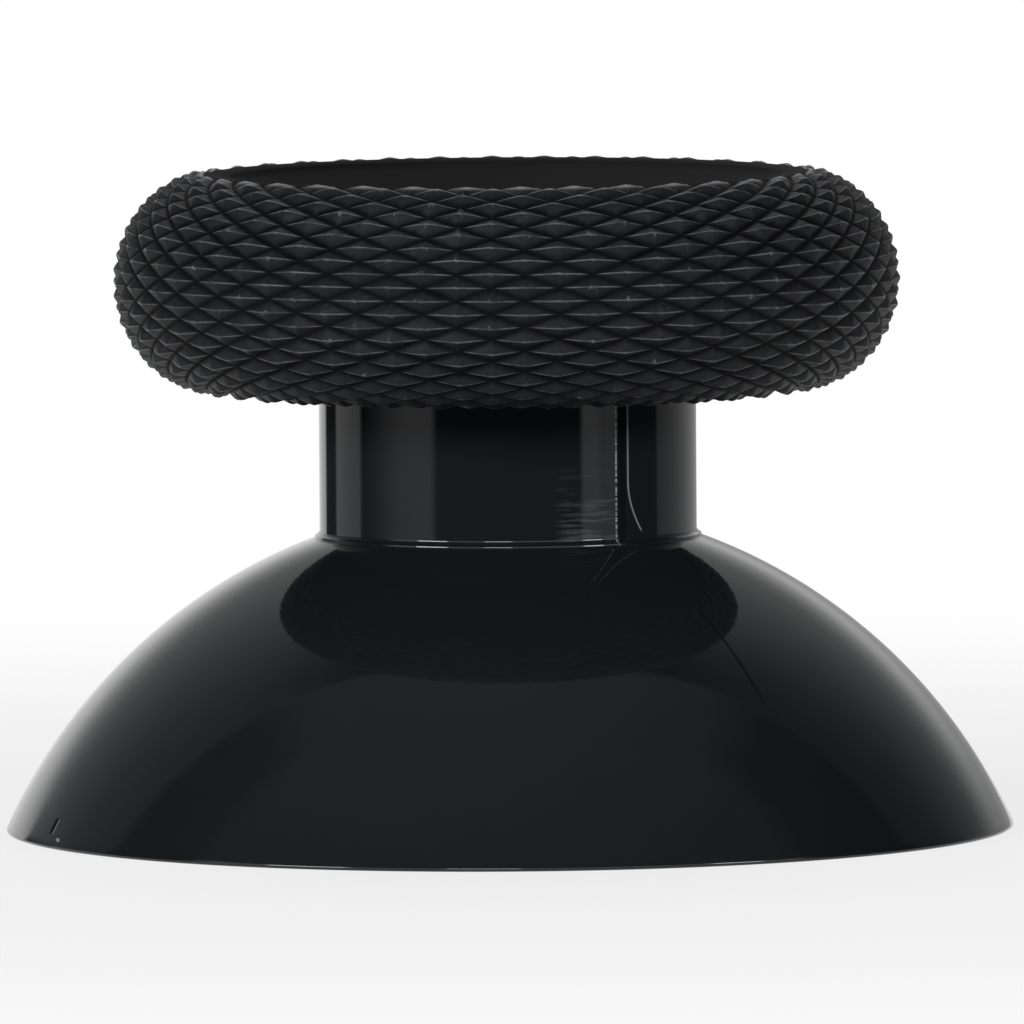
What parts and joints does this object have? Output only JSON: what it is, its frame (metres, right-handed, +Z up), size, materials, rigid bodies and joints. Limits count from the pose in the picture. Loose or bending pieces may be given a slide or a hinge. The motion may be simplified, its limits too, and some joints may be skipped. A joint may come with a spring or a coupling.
{
  "type": "thumbstick cap",
  "caption": "Thumbstick cap with a gloss domed skirt and neck, a knurled rubber ring round a concave dish, and a two-flat socket that presses onto the stick's lever.",
  "frame": {"origin": "centre of the rim, in the plane that the cap rests on", "axes": "+Z up along the cap's axis, -Y towards the picture's camera, +X to its right"},
  "size_m": [0.025, 0.025, 0.0164],
  "materials": {
    "gloss_plastic": "mirror gloss, bluish black, with a fine mould seam",
    "grip_rubber": "matte near-black, raised diamonds round the ring, plain in the dish"
  },
  "bodies": {
    "root": {"stem": "gloss_plastic", "grip": "grip_rubber"}
  },
  "joints": []
}
